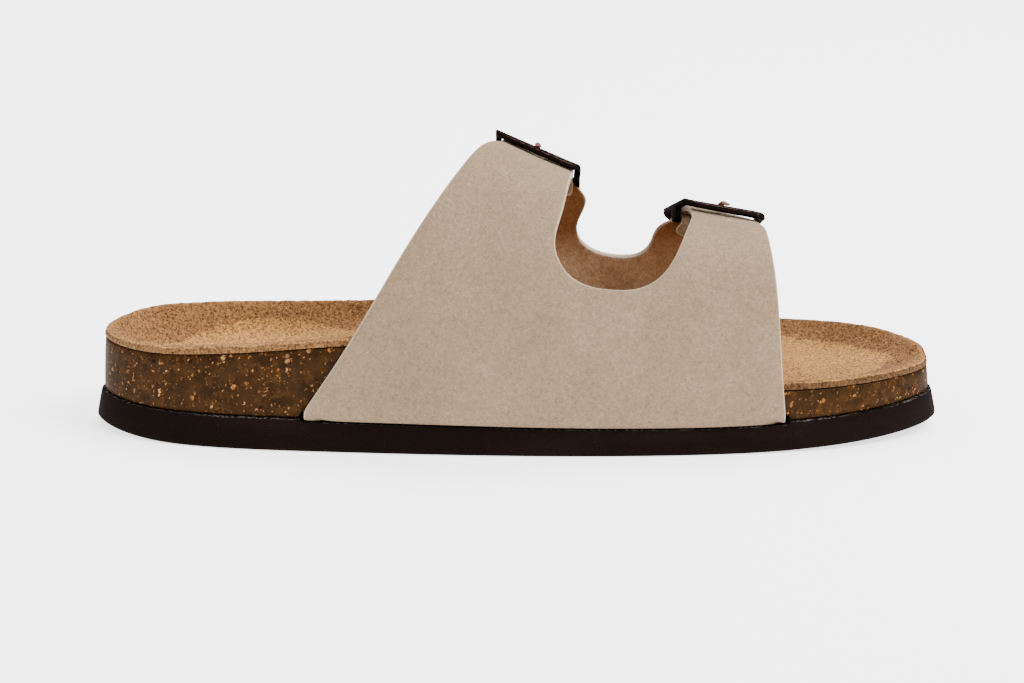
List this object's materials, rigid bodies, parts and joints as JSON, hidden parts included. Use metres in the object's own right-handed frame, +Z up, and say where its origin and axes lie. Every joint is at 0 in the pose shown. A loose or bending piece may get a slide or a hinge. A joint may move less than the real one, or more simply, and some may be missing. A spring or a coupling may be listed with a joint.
{
  "type": "cork footbed sandal",
  "caption": "Flat open sandal: contoured cork footbed with suede cover on a foam outsole, and a leather upper whose two buckled straps cross the foot.",
  "frame": {"origin": "on the flat of the outsole's underside, midway along the sole and on the axis of the heel", "axes": "+X towards the toe, +Y towards the outer side of the foot, +Z up from the ground"},
  "size_m": [0.2687, 0.1006, 0.0923],
  "materials": {
    "foam": "matte dark brown foam",
    "cork": "lacquered speckled cork",
    "suede": "coarse tan suede",
    "nubuck": "pale taupe nubuck with a brown lining",
    "buckle_metal": "dark antique bronze"
  },
  "bodies": {
    "root": {"outsole": "foam", "cork_footbed": "cork", "footbed_cover": "suede", "upper_inner": "nubuck", "upper_outer": "nubuck", "buckle_frame_rear": "buckle_metal", "buckle_prong_rear": "buckle_metal", "buckle_frame_front": "buckle_metal", "buckle_prong_front": "buckle_metal"}
  },
  "joints": []
}
